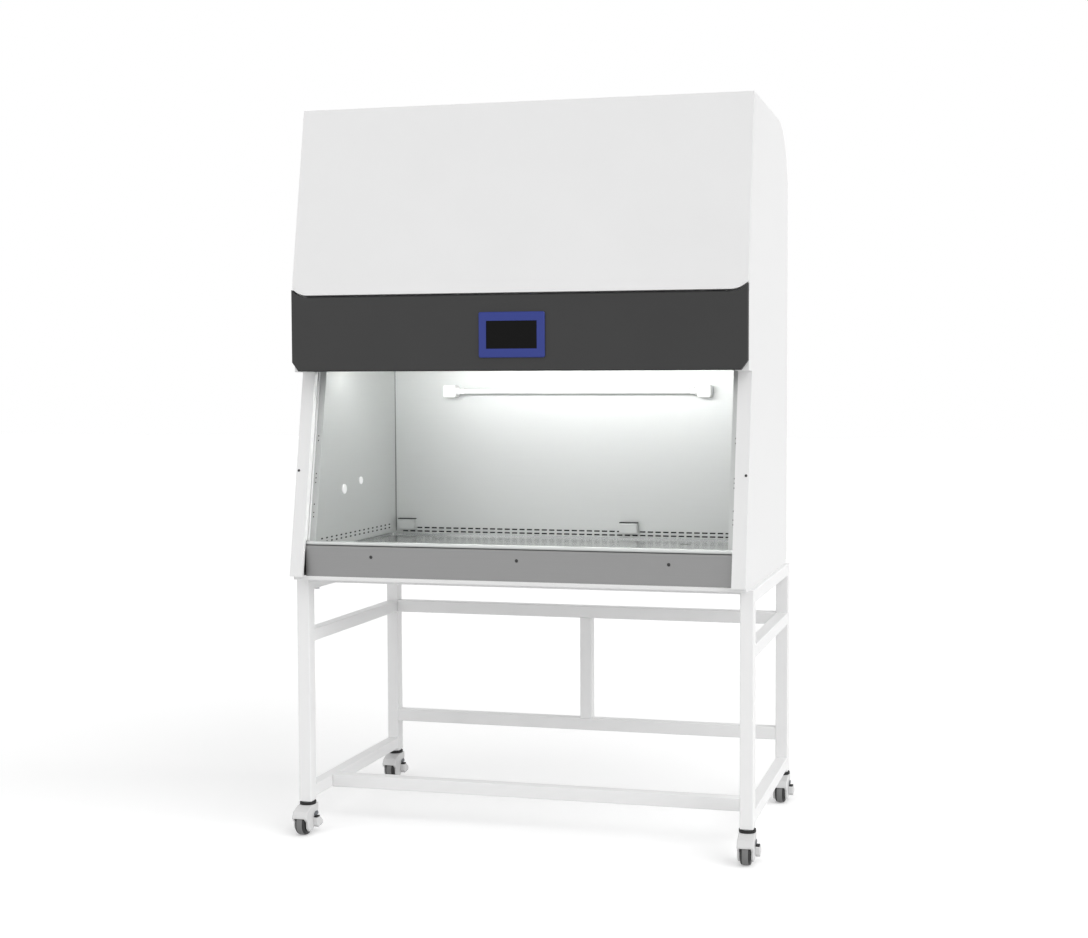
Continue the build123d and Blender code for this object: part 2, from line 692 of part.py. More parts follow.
def grille_section(plane):
    """Section of the grille: rounded lip, sloping sheet, upright bend and the tray's ledge."""
    top = GRILLE_DROP + GRILLE_SHEET - 0.5
    ledge = 18
    inner = GRILLE_REAR - GRILLE_SHEET
    with BuildSketch(plane) as section:
        with BuildLine():
            Polyline((LIP_Y, LIP_Z + LIP_R), (GRILLE_REAR, top), (GRILLE_REAR, TRAY_BOTTOM),
                     (GRILLE_REAR + ledge, TRAY_BOTTOM), (GRILLE_REAR + ledge, TRAY_BOTTOM - GRILLE_SHEET),
                     (inner, TRAY_BOTTOM - GRILLE_SHEET), (inner, GRILLE_DROP),
                     (LIP_Y, LIP_Z + LIP_R - GRILLE_SHEET), (LIP_Y, LIP_Z + LIP_R))
        make_face()
        with Locations((LIP_Y, LIP_Z)):
            Circle(LIP_R)
    return section.sketch


def make_front_grille():
    """Intake grille in front of the work surface, with the rounded armrest lip along its front."""
    cut_depth = 130
    cut_height = 100
    cut_width = 2 * (SIDE_INNER - CHAMBER_HALF_WIDTH + 1)
    with BuildPart() as grille:
        extrude(grille_section(Plane.YZ), amount=SIDE_INNER, both=True)
        with Locations(*[(s * SIDE_INNER, GRILLE_REAR, LIP_Z) for s in SIDES.values()]):
            Box(cut_width, cut_depth, cut_height, mode=Mode.SUBTRACT)
        with BuildSketch(Plane.XY.offset(LIP_Z + 2 * LIP_R)):
            with Locations((0, (LIP_Y + GRILLE_REAR) / 2 + 4)):
                with GridLocations(GRILLE_SLOT_PITCH, 0, GRILLE_SLOTS, 1):
                    Rectangle(*GRILLE_SLOT)
        extrude(amount=-4 * LIP_R, mode=Mode.SUBTRACT)
    finish(grille, "front_grille")


PULL = (414, 97)


def make_work_surface():
    """Lift-out work surface: a pan with a low rim and two finger slots."""
    front = GRILLE_REAR + 2
    back = CHAMBER_REAR - 49   # clear of the socket flaps when it is lifted out
    half = CHAMBER_HALF_WIDTH - 3
    bottom = TRAY_BOTTOM
    rim = 6
    rim_width = 8
    pull_size = (34, 18)
    pull_depth = 6
    with BuildPart() as tray:
        with Locations((0, (front + back) / 2, (bottom + WORK_HEIGHT + rim) / 2)):
            Box(2 * half, back - front, WORK_HEIGHT + rim - bottom)
        with Locations((0, (front + back) / 2, WORK_HEIGHT + rim / 2)):
            Box(2 * (half - rim_width), back - front - 2 * rim_width, rim, mode=Mode.SUBTRACT)
        fillet(tray.edges().filter_by(Axis.Z), radius=5)
        with BuildSketch(Plane.XY.offset(WORK_HEIGHT)):
            with Locations((-PULL[0], PULL[1]), PULL):
                SlotOverall(*pull_size)
        extrude(amount=-pull_depth, mode=Mode.SUBTRACT)
    finish(tray, "work_surface")


PANEL_FRONT = -380
PANEL_Z = (BASE_PLATE_TOP, LIP_Z - LIP_R)


def make_lower_panel():
    """Lower front panel: a folded sheet between the side frames."""
    fold = 8
    height = PANEL_Z[1] - PANEL_Z[0]
    with BuildPart() as panel:
        with Locations((0, PANEL_FRONT + SHEET / 2, PANEL_Z[0] + height / 2)):
            Box(2 * SIDE_INNER, SHEET, height)
        folds = (PANEL_Z[0] + SHEET / 2, PANEL_Z[1] - SHEET / 2)
        with Locations(*[(0, PANEL_FRONT + fold / 2, z) for z in folds]):
            Box(2 * SIDE_INNER, fold, SHEET)
    finish(panel, "lower_front_panel")


PANEL_SCREW_X = (-442, 12, 466)
PANEL_SCREW_Z = 861
FRAME_SCREW_Z = 1116


def make_panel_screws():
    """Domed screws of the lower panel and of the side frames."""
    radius = 5
    height = 2.4
    with BuildPart() as screws:
        with BuildSketch(Plane.XZ.offset(-PANEL_FRONT)):
            with Locations(*[(x, PANEL_SCREW_Z) for x in PANEL_SCREW_X]):
                Circle(radius)
        extrude(amount=height, taper=35)
        with BuildSketch(leaning_plane(frame_y(FRAME_SCREW_Z), FRAME_SCREW_Z)):
            with Locations(*[(s * (HALF_WIDTH - 8), 0) for s in SIDES.values()]):
                Circle(radius - 1)
        extrude(amount=height, taper=30)
    finish(screws, "panel_screws")


# ---- Sash ----------------------------------------------------------------------------------------

SASH_Y = frame_y(SASH_REST) + SASH_SETBACK / SLOPE_COS
GLASS_HALF_WIDTH = 660
GUIDE_X = (SIDE_INNER, SIDE_INNER + 17.5)   # the guides stand inside the side pans
GUIDE_GROOVE = (SIDE_INNER + 12, 4.5)
GUIDE_BOTTOM = 906
GUIDE_TOP = 1950
SHAFT_UP = 600                # the drive shaft's place up the slope from the raised glass's lower edge
DRUM_R = 25
SHAFT_R = 8
HANDLE_HALF_WIDTH = 646


def make_sash_glass():
    """Sliding front window of laminated glass, drawn raised."""
    with BuildPart() as glass:
        with BuildSketch(leaning_plane(SASH_Y, SASH_REST).offset(-SASH_THICKNESS / 2)):
            with Locations((0, SASH_LENGTH / 2)):
                Rectangle(2 * GLASS_HALF_WIDTH, SASH_LENGTH)
        extrude(amount=SASH_THICKNESS)
        chamfer(glass.faces().sort_by(Axis.Z)[0].edges().filter_by(Axis.X), length=1)
    finish(glass, "sash_glass")


def make_sash_handle():
    """Channel along the glass's lower edge that the user pulls on."""
    height = 24
    half = 7
    lip = 4
    with BuildPart() as handle:
        with BuildSketch(leaning_plane(SASH_Y, SASH_REST).offset(-half)):
            with Locations((0, height / 2 - 2)):
                Rectangle(2 * HANDLE_HALF_WIDTH, height)
        extrude(amount=2 * half)
        fillet(handle.edges().filter_by(Axis.X), radius=2)
        with BuildSketch(leaning_plane(SASH_Y, SASH_REST).offset(-SASH_THICKNESS / 2)):
            with Locations((0, height)):
                Rectangle(2 * GLASS_HALF_WIDTH, 2 * height)
        extrude(amount=SASH_THICKNESS, mode=Mode.SUBTRACT)
        with BuildSketch(leaning_plane(SASH_Y, SASH_REST).offset(half)):
            with Locations((0, height / 2 - 2)):
                Rectangle(2 * HANDLE_HALF_WIDTH - 40, lip)
        extrude(amount=2)
    finish(handle, "sash_handle")


def make_sash_guides():
    """Upright channels that the glass slides in, one on each side."""
    start = crossing_plane(frame_y(GUIDE_BOTTOM) + SASH_SETBACK / SLOPE_COS, GUIDE_BOTTOM)
    width = GUIDE_X[1] - GUIDE_X[0]
    groove_width = GUIDE_GROOVE[0] - GUIDE_X[0]
    with BuildPart() as guides:
        with BuildSketch(start):
            with Locations(*[(s * (GUIDE_X[0] + width / 2), 0) for s in SIDES.values()]):
                Rectangle(width, 2 * GUIDE_HALF_DEPTH)
            with Locations(*[(s * (GUIDE_X[0] + groove_width / 2), 0) for s in SIDES.values()]):
                Rectangle(groove_width, 2 * GUIDE_GROOVE[1], mode=Mode.SUBTRACT)
        extrude(amount=(GUIDE_TOP - GUIDE_BOTTOM) / SLOPE_COS)
    finish(guides, "sash_guides")


SHAFT_Y = SASH_Y + SHAFT_UP * SLOPE_SIN + DRUM_R * SLOPE_COS
SHAFT_Z = SASH_REST + SHAFT_UP * SLOPE_COS - DRUM_R * SLOPE_SIN
BEARING_HALF = 28


def make_sash_shaft():
    """Lifting shaft with the two cable drums that raise the glass."""
    drum_x = 540
    drum_width = 24
    rim = 3
    with BuildPart() as shaft:
        with BuildSketch(Plane.YZ.offset(-GUIDE_X[1] + 1)):
            with Locations((SHAFT_Y, SHAFT_Z)):
                Circle(SHAFT_R)
        extrude(amount=2 * (GUIDE_X[1] - 1))
        for x in (-drum_x, drum_x):
            for start, width, radius in ((x - drum_width / 2 - rim, rim, DRUM_R + 5),
                                         (x - drum_width / 2, drum_width, DRUM_R),
                                         (x + drum_width / 2, rim, DRUM_R + 5)):
                with BuildSketch(Plane.YZ.offset(start)):
                    with Locations((SHAFT_Y, SHAFT_Z)):
                        Circle(radius)
                extrude(amount=width)
    finish(shaft, "sash_drive_shaft")


def make_shaft_bearings():
    """Bearing blocks of the lifting shaft, standing on top of the guides."""
    guide_top_y = frame_y(GUIDE_TOP) + SASH_SETBACK / SLOPE_COS
    width = GUIDE_X[1] - GUIDE_X[0]
    with BuildPart() as blocks:
        with BuildSketch(crossing_plane(guide_top_y, GUIDE_TOP)):
            with Locations(*[(s * (GUIDE_X[0] + width / 2), DRUM_R / 2 + 4) for s in SIDES.values()]):
                Rectangle(width, DRUM_R + 2 * GUIDE_HALF_DEPTH + 8)
        extrude(amount=SHAFT_UP - (GUIDE_TOP - SASH_REST) / SLOPE_COS + 22)
        with BuildSketch(Plane.YZ.offset(-HALF_WIDTH)):
            with Locations((SHAFT_Y, SHAFT_Z)):
                Circle(SHAFT_R + RUNNING_GAP)
        extrude(amount=CABINET_WIDTH, mode=Mode.SUBTRACT)
    finish(blocks, "shaft_bearings")


def make_sash_motor():
    """Gear motor of the sash: its gearbox sits on the shaft beside the right bearing block."""
    gearbox = 56
    motor_r = 24
    motor_length = 90
    with BuildPart() as motor:
        with Locations((GUIDE_X[0] - gearbox / 2, SHAFT_Y + 8, SHAFT_Z)):
            Box(gearbox, gearbox + 16, gearbox)
        fillet(motor.edges().filter_by(Axis.X), radius=5)
        with BuildSketch(Plane.XZ.offset(-(SHAFT_Y + 8 + gearbox / 2 + 8))):
            with Locations((GUIDE_X[0] - gearbox / 2, SHAFT_Z)):
                Circle(motor_r)
        extrude(amount=-motor_length)
        with BuildSketch(Plane.YZ.offset(GUIDE_X[0] - gearbox)):
            with Locations((SHAFT_Y, SHAFT_Z)):
                Circle(SHAFT_R + RUNNING_GAP)
        extrude(amount=gearbox, mode=Mode.SUBTRACT)
    finish(motor, "sash_motor")


# ---- Air system ----------------------------------------------------------------------------------

FILTER_Y = (-230, CHAMBER_REAR - 2)
FILTER_HALF_WIDTH = CHAMBER_HALF_WIDTH - 2
FILTER_TOP = 1565
PLENUM_TOP = 1640
BLOWER = (90, 1840)           # Y and Z of the fan's axis
SCROLL_R = 165
SCROLL_HALF_WIDTH = 110
IMPELLER_R = 120
MOTOR_SHAFT_R = 7
FAN_EYE_R = 85
MOTOR_HOLE_R = 30
OUTLET = (2 * SCROLL_HALF_WIDTH - 12, 100)
THROAT = 120


def make_supply_filter():
    """Supply filter over the chamber: a frame round a pleated pack."""
    depth = FILTER_Y[1] - FILTER_Y[0]
    middle = sum(FILTER_Y) / 2
    rim = 20
    pack_bottom = CHAMBER_CEILING + 6
    pack_top = FILTER_TOP - 46
    pleat = 12
    pleat_pitch = 30
    pleats = 39
    with BuildPart() as supply:
        with Locations((0, middle, (CHAMBER_CEILING + FILTER_TOP) / 2)):
            Box(2 * FILTER_HALF_WIDTH, depth, FILTER_TOP - CHAMBER_CEILING)
        for start, end in ((CHAMBER_CEILING, pack_bottom), (pack_top, FILTER_TOP)):
            with BuildSketch(Plane.XY.offset(start)):
                with Locations((0, middle)):
                    Rectangle(2 * (FILTER_HALF_WIDTH - rim), depth - 2 * rim)
            extrude(amount=end - start, mode=Mode.SUBTRACT)
        with BuildSketch(Plane.XY.offset(pack_bottom)):
            with Locations((0, middle)):
                with GridLocations(pleat_pitch, 0, pleats, 1):
                    Rectangle(pleat, depth - 2 * rim)
        extrude(amount=pleat, mode=Mode.SUBTRACT)
    finish(supply, "supply_filter")


def make_plenum():
    """Pressure box between the fan and the supply filter."""
    depth = FILTER_Y[1] - FILTER_Y[0]
    middle = sum(FILTER_Y) / 2
    height = PLENUM_TOP - FILTER_TOP
    with BuildPart() as plenum:
        with Locations((0, middle, FILTER_TOP + height / 2)):
            Box(2 * FILTER_HALF_WIDTH, depth, height)
        with Locations((0, middle, FILTER_TOP + (height - SHEET) / 2)):
            Box(2 * (FILTER_HALF_WIDTH - SHEET), depth - 2 * SHEET, height - SHEET, mode=Mode.SUBTRACT)
        with Locations((0, BLOWER[0] - SCROLL_R + THROAT / 2, PLENUM_TOP - SHEET / 2)):
            Box(*OUTLET, SHEET, mode=Mode.SUBTRACT)
    finish(plenum, "pressure_plenum")


def scroll_outline(plane, inset=0):
    """Side view of the fan's scroll with its outlet downwards."""
    drop = BLOWER[1] - PLENUM_TOP
    with BuildSketch(plane) as outline:
        with Locations(BLOWER):
            Circle(SCROLL_R - inset)
        with Locations((BLOWER[0] - SCROLL_R + THROAT / 2, BLOWER[1] - drop / 2)):
            Rectangle(THROAT - 2 * inset, drop)
    return outline.sketch


def make_blower_housing():
    """Scroll of the recirculation fan: inlet on the right, motor on the left, outlet into the plenum."""
    with BuildPart() as housing:
        extrude(scroll_outline(Plane.YZ.offset(-SCROLL_HALF_WIDTH)), amount=2 * SCROLL_HALF_WIDTH)
        hollow = scroll_outline(Plane.YZ.offset(-SCROLL_HALF_WIDTH + SHEET), SHEET)
        extrude(hollow, amount=2 * (SCROLL_HALF_WIDTH - SHEET), mode=Mode.SUBTRACT)
        with BuildSketch(Plane.YZ.offset(SCROLL_HALF_WIDTH - SHEET)):
            with Locations(BLOWER):
                Circle(FAN_EYE_R)
        extrude(amount=SHEET, mode=Mode.SUBTRACT)
        with BuildSketch(Plane.YZ.offset(-SCROLL_HALF_WIDTH)):
            with Locations(BLOWER):
                Circle(MOTOR_HOLE_R)
        extrude(amount=SHEET, mode=Mode.SUBTRACT)
    finish(housing, "blower_housing")


BLADES = 11
BLADE_WIDTH = 104
BLADE_BACK = -74              # X of the impeller's back plate
PLATE = 3
FAN_HUB_R = 22
FAN_HUB_LENGTH = 50
IMPELLER_EYE_R = 78
# ends of a blade's two faces, and the radii of their curves
BLADE_OUTER = ((62, 0), (96, 70), -90)
BLADE_INNER = ((94, 71), (60, 1), 88)


def make_impeller():
    """Centrifugal impeller with backward-curved blades between its back plate and inlet ring."""
    front = BLADE_BACK + PLATE + BLADE_WIDTH
    hub_start = BLADE_BACK - 12
    with BuildSketch() as blade:
        with BuildLine():
            outer = RadiusArc(*BLADE_OUTER)
            inner = RadiusArc(*BLADE_INNER)
            Line(outer @ 1, inner @ 0)
            Line(inner @ 1, outer @ 0)
        make_face()
    with BuildPart() as impeller:
        discs = ((BLADE_BACK, PLATE, IMPELLER_R), (hub_start, FAN_HUB_LENGTH, FAN_HUB_R))
        for start, length, radius in discs:
            with BuildSketch(Plane.YZ.offset(start)):
                with Locations(BLOWER):
                    Circle(radius)
            extrude(amount=length)
        with BuildSketch(Plane.YZ.offset(BLADE_BACK + PLATE)):
            with Locations(BLOWER):
                with PolarLocations(0, BLADES):
                    add(blade.sketch)
        extrude(amount=BLADE_WIDTH)
        with BuildSketch(Plane.YZ.offset(front)):
            with Locations(BLOWER):
                Circle(IMPELLER_R)
                Circle(IMPELLER_EYE_R, mode=Mode.SUBTRACT)
        extrude(amount=PLATE)
        with BuildSketch(Plane.YZ.offset(hub_start)):
            with Locations(BLOWER):
                Circle(MOTOR_SHAFT_R + RUNNING_GAP)
        extrude(amount=FAN_HUB_LENGTH, mode=Mode.SUBTRACT)
    finish(impeller, "blower_impeller")


def make_blower_motor():
    """Fan motor on the scroll's left wall, with its finned body and shaft."""
    flange_r = 60
    flange = 8
    body_r = 50
    body_length = 120
    fin = (8, 3)
    fins = 16
    shaft_end = -40
    mount = -SCROLL_HALF_WIDTH
    with BuildPart() as motor:
        with BuildSketch(Plane.YZ.offset(mount)):
            with Locations(BLOWER):
                Circle(flange_r)
        extrude(amount=-flange)
        with BuildSketch(Plane.YZ.offset(mount - flange)):
            with Locations(BLOWER):
                Circle(body_r)
                with PolarLocations(body_r + 2, fins):
                    Rectangle(*fin)
        extrude(amount=-body_length)
        with BuildSketch(Plane.YZ.offset(mount - flange)):
            with Locations(BLOWER):
                Circle(MOTOR_SHAFT_R)
        extrude(amount=shaft_end - mount + flange)
    finish(motor, "blower_motor")


def make_exhaust_filter():
    """Exhaust filter under the opening in the top panel."""
    border = 20
    height = 100
    rim = 22
    recess = 34
    size = (EXHAUST_SIZE[0] + 2 * border, EXHAUST_SIZE[1] + 2 * border)
    top = CABINET_TOP - SHEET
    with BuildPart() as exhaust:
        with Locations((0, EXHAUST_Y, top - height / 2)):
            Box(*size, height)
        for z, direction in ((top, -1), (top - height, 1)):
            with BuildSketch(Plane.XY.offset(z)):
                with Locations((0, EXHAUST_Y)):
                    Rectangle(size[0] - 2 * rim, size[1] - 2 * rim)
            extrude(amount=direction * recess, mode=Mode.SUBTRACT)
    finish(exhaust, "exhaust_filter")


def make_exhaust_grille():
    """Slotted guard over the exhaust opening, flat on the top panel."""
    margin = 20
    slot = (96, 9)
    pitch = (110, 20)
    slots = (4, 11)
    with BuildPart() as guard:
        with BuildSketch(Plane.XY.offset(CABINET_TOP)):
            with Locations((0, EXHAUST_Y)):
                RectangleRounded(EXHAUST_SIZE[0] + 2 * margin, EXHAUST_SIZE[1] + 2 * margin, EXHAUST_CORNER_R)
                with GridLocations(*pitch, *slots):
                    Rectangle(*slot, mode=Mode.SUBTRACT)
        extrude(amount=SHEET)
    finish(guard, "exhaust_grille")


# ---- Lamps and sockets --------------------------------------------------------------------------

UV_Y = 250
UV_Z = 1355
UV_SPAN = (-392, 416)


def make_work_lamp():
    """Work light under the front edge of the supply filter, its lower edges cut back."""
    half = 600
    span = (-228, -188)
    drop = 30
    cut = 10
    low = CHAMBER_CEILING - drop
    with BuildPart() as lamp:
        with BuildSketch(Plane.YZ.offset(-half)):
            with BuildLine():
                Polyline((span[0], CHAMBER_CEILING), (span[1], CHAMBER_CEILING), (span[1], low + cut),
                         (span[1] - cut, low), (span[0] + cut, low), (span[0], low + cut),
                         (span[0], CHAMBER_CEILING))
            make_face()
        extrude(amount=2 * half)
    finish(lamp, "work_lamp")


def make_uv_lamp():
    """Germicidal tube with its end caps, between its two holders."""
    tube_r = 8
    cap = (9.5, 16)
    with BuildPart() as lamp:
        with BuildSketch(Plane.YZ.offset(UV_SPAN[0])):
            with Locations((UV_Y, UV_Z)):
                Circle(tube_r)
        extrude(amount=UV_SPAN[1] - UV_SPAN[0])
        for x in (UV_SPAN[0], UV_SPAN[1] - cap[1]):
            with BuildSketch(Plane.YZ.offset(x)):
                with Locations((UV_Y, UV_Z)):
                    Circle(cap[0])
            extrude(amount=cap[1])
    finish(lamp, "uv_lamp")


def make_uv_holders():
    """Holders of the germicidal tube, each a box on the rear wall with a round socket towards the tube."""
    length = 44
    height = 40
    proud = 12
    socket = 8
    socket_r = 13
    with BuildPart() as holders:
        for x in (UV_SPAN[0] - length / 2 - socket, UV_SPAN[1] + length / 2 + socket):
            with Locations((x, (UV_Y + CHAMBER_REAR - proud) / 2, UV_Z)):
                Box(length, CHAMBER_REAR - UV_Y + proud, height)
        fillet(holders.edges().filter_by(Axis.Y), radius=6)
        for x in (UV_SPAN[0] - socket, UV_SPAN[1]):
            with BuildSketch(Plane.YZ.offset(x)):
                with Locations((UV_Y, UV_Z)):
                    Circle(socket_r)
            extrude(amount=socket)
    finish(holders, "uv_lamp_holders")


SOCKET_X = {"left": -588, "right": 189}
SOCKET_Z = (887, 921)
SOCKET_FRONT = CHAMBER_REAR - 12
SOCKET_HALF_WIDTH = 32
FLAP_HINGE = (SOCKET_FRONT - 4, SOCKET_Z[1] - 3.5)
FLAP_PIN_R = 1.2
EAR = 3


def make_socket_boxes():
    """Splash-proof socket boxes on the rear wall, each with two hinge ears."""
    with BuildPart() as boxes:
        for x in SOCKET_X.values():
            with Locations((x, (SOCKET_FRONT + CHAMBER_REAR) / 2, sum(SOCKET_Z) / 2)):
                Box(2 * SOCKET_HALF_WIDTH, CHAMBER_REAR - SOCKET_FRONT, SOCKET_Z[1] - SOCKET_Z[0])
            with Locations(*[(x + s * (SOCKET_HALF_WIDTH - EAR / 2), SOCKET_FRONT - 3.5, FLAP_HINGE[1])
                             for s in SIDES.values()]):
                Box(EAR, 7, 7)
            with BuildSketch(Plane.XZ.offset(-SOCKET_FRONT)):
                with Locations((x, sum(SOCKET_Z) / 2 - 2)):
                    Circle(11)
            extrude(amount=-8, mode=Mode.SUBTRACT)
        with BuildSketch(Plane.YZ.offset(-CHAMBER_HALF_WIDTH)):
            with Locations(FLAP_HINGE):
                Circle(FLAP_PIN_R + RUNNING_GAP)
        extrude(amount=2 * CHAMBER_HALF_WIDTH, mode=Mode.SUBTRACT)
    finish(boxes, "socket_boxes")


def make_socket_flap(name, x):
    """Hinged flap over a socket, with its pins in the box's ears."""
    half = SOCKET_HALF_WIDTH - EAR - 0.5
    plate = 2.4
    bottom = SOCKET_Z[0] + 1
    with BuildPart() as flap:
        with BuildSketch(Plane.YZ.offset(x - half)):
            with Locations(FLAP_HINGE):
                Circle(3)
            with Locations((FLAP_HINGE[0], (bottom + FLAP_HINGE[1]) / 2)):
                Rectangle(plate, FLAP_HINGE[1] - bottom)
        extrude(amount=2 * half)
        with BuildSketch(Plane.YZ.offset(x - SOCKET_HALF_WIDTH + 0.5)):
            with Locations(FLAP_HINGE):
                Circle(FLAP_PIN_R)
        extrude(amount=2 * SOCKET_HALF_WIDTH - 1)
    finish(flap, name)


# ---- Build ---------------------------------------------------------------------------------------

for side_name, side in SIDES.items():
    make_side_frame(f"stand_side_frame_{side_name}", side)
    make_side_panel(f"outer_side_panel_{side_name}", side)
    make_inner_side_wall(f"inner_side_wall_{side_name}", side)
    make_socket_flap(f"socket_flap_{side_name}", SOCKET_X[side_name])
make_cross_rails()
make_top_rails()
make_stand_bolts()
make_stems()
make_seal_rings()
for place in CASTERS:
    make_fork(f"caster_fork_{place}", place)
    make_wheel(f"caster_wheel_{place}", place)
    make_pedal(f"caster_pedal_{place}", place)
make_top_panel()
make_rear_panel()
make_power_inlet()
make_base_plate()
make_control_band()
make_display()
make_front_cover()
make_hinge_rod()
make_inner_rear_wall()
make_port_plugs()
make_front_grille()
make_work_surface()
make_lower_panel()
make_panel_screws()
make_sash_glass()
make_sash_handle()
make_sash_guides()
make_sash_shaft()
make_shaft_bearings()
make_sash_motor()
make_supply_filter()
make_plenum()
make_blower_housing()
make_impeller()
make_blower_motor()
make_exhaust_filter()
make_exhaust_grille()
make_work_lamp()
make_uv_lamp()
make_uv_holders()
make_socket_boxes()
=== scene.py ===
# %% [markdown]
# # A biosafety cabinet, dressed in Blender
#
# The cabinet's frame, sheet metal and moving parts come from a CAD model, which this script loads first and never
# changes. What it adds is what the CAD model leaves out: finishes, two-colour castor wheels, brake levers, seals,
# trims and light.
# The real cabinet is powder-coated sheet steel outside and brushed stainless steel inside.

# %% Load the model
import json
import math
import bpy
import bmesh
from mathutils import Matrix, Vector


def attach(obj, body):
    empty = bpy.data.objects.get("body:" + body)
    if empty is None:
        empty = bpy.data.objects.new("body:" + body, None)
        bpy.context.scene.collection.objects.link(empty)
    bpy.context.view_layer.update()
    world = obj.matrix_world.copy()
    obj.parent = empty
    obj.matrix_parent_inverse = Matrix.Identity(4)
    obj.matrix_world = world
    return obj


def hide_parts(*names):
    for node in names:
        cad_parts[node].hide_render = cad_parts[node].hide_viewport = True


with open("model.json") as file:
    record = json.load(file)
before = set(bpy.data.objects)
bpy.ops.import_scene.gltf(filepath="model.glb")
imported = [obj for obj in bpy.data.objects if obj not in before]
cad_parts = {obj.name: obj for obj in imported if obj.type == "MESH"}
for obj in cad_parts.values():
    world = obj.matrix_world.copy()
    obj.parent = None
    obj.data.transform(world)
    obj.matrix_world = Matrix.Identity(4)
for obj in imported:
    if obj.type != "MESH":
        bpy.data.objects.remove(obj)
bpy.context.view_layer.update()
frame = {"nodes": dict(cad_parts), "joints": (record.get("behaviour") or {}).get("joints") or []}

# %% [markdown]
# ## The camera
#
# A camera that stands to the right of the cabinet and a little above its middle sees the front and the right side.
# Its place could be found by eye, but the corners of a box give it exactly, so it is written here as numbers.
# The frame is shifted sideways instead of turned, which keeps the upright edges upright.

# %% Camera
camera_data = bpy.data.cameras.new("camera")
camera_data.sensor_fit = "HORIZONTAL"
camera_data.sensor_width = 36.0
camera_data.lens = 51.106
camera_data.shift_x = -0.0974
camera = bpy.data.objects.new("camera", camera_data)
camera.location = (1.4059, -4.6532, 1.3501)
camera.rotation_euler = (math.pi / 2 - 0.0494, 0.0006, 0.2286)
bpy.context.scene.collection.objects.link(camera)
bpy.context.scene.camera = camera
bpy.context.scene.view_settings.view_transform = "Standard"
print("camera looks along", [round(c, 3) for c in camera.rotation_euler])

# %% [markdown]
# ## Two small helpers for materials
#
# Colours are easiest to read as the hex values of a colour picker. Those are sRGB, while shaders work in linear
# light, so one function converts them. A second one adds a node, sets its values and joins its links in one line,
# which keeps each material short enough to read.

# %% Colour and node helpers
def colour(hex_value):
    """A hex colour as linear red, green, blue and alpha."""
    parts = [int(hex_value[i:i + 2], 16) / 255 for i in (1, 3, 5)]
    return [c / 12.92 if c <= 0.04045 else ((c + 0.055) / 1.055) ** 2.4 for c in parts] + [1.0]


def add(tree, kind, inputs=(), **settings):
    """Adds a node; an input that is a socket is linked, and any other is set."""
    node = tree.nodes.new(kind)
    for key, value in settings.items():
        setattr(node, key, value)
    for key, value in dict(inputs).items():
        if isinstance(value, bpy.types.NodeSocket):
            tree.links.new(value, node.inputs[key])
        else:
            node.inputs[key].default_value = value
    return node


print("mid grey is", [round(c, 3) for c in colour("#808080")])

# %% [markdown]
# ## Studio
#
# The floor and the world are white to the camera and to reflections, but light the cabinet at a plain level.
# Light Path tells the kinds of ray apart, so no extra light is needed for a white background.
# Two suns with a very wide disc stand for large soft boxes. The stronger one is on the right, so the right side
# is lighter than the front, as it is with a window or a large lamp on that side.

# %% World
world_light = 0.52                  # strength that lights the cabinet
world_shown = 1.0                   # strength that the camera and reflections see

world = bpy.data.worlds.new("studio")
bpy.context.scene.world = world
world.use_nodes = True
world_tree = world.node_tree
world_tree.nodes.clear()
path = add(world_tree, "ShaderNodeLightPath")
seen = add(world_tree, "ShaderNodeMath", {0: path.outputs["Is Camera Ray"], 1: path.outputs["Is Glossy Ray"]},
           operation="MAXIMUM")
seen = add(world_tree, "ShaderNodeMath", {0: seen.outputs[0], 1: path.outputs["Is Transmission Ray"]},
           operation="MAXIMUM")
level = add(world_tree, "ShaderNodeMapRange", {"Value": seen.outputs[0], "To Min": world_light,
                                               "To Max": world_shown})
sky = add(world_tree, "ShaderNodeBackground", {"Color": colour("#FFFFFF"), "Strength": level.outputs[0]})
add(world_tree, "ShaderNodeOutputWorld", {"Surface": sky.outputs[0]})
print("world lights at", world_light, "and shows at", world_shown)

# %% Floor
floor_lift_level = 0.30             # what the floor adds where it is seen, so that it meets the white world
floor_half_size = 40.0              # metres

floor_material = bpy.data.materials.new("floor_paper")
floor_material.use_nodes = True
floor_tree = floor_material.node_tree
floor_tree.nodes.clear()
floor_path = add(floor_tree, "ShaderNodeLightPath")
floor_seen = add(floor_tree, "ShaderNodeMath", {0: floor_path.outputs["Is Camera Ray"],
                                                1: floor_path.outputs["Is Glossy Ray"]}, operation="MAXIMUM")
floor_glow = add(floor_tree, "ShaderNodeMath", {0: floor_seen.outputs[0], 1: floor_lift_level},
                 operation="MULTIPLY")
floor_paper = add(floor_tree, "ShaderNodeBsdfDiffuse", {"Color": colour("#EDEDED")})
floor_lift = add(floor_tree, "ShaderNodeEmission", {"Strength": floor_glow.outputs[0]})
floor_sum = add(floor_tree, "ShaderNodeAddShader", {0: floor_paper.outputs[0], 1: floor_lift.outputs[0]})
add(floor_tree, "ShaderNodeOutputMaterial", {"Surface": floor_sum.outputs[0]})
floor_mesh = bpy.data.meshes.new("studio_floor")
floor_bm = bmesh.new()
bmesh.ops.create_grid(floor_bm, x_segments=1, y_segments=1, size=floor_half_size)
floor_bm.to_mesh(floor_mesh)
floor_bm.free()
floor_mesh.materials.append(floor_material)
floor = bpy.data.objects.new("studio_floor", floor_mesh)
bpy.context.scene.collection.objects.link(floor)
print("floor is", 2 * floor_half_size, "m wide")


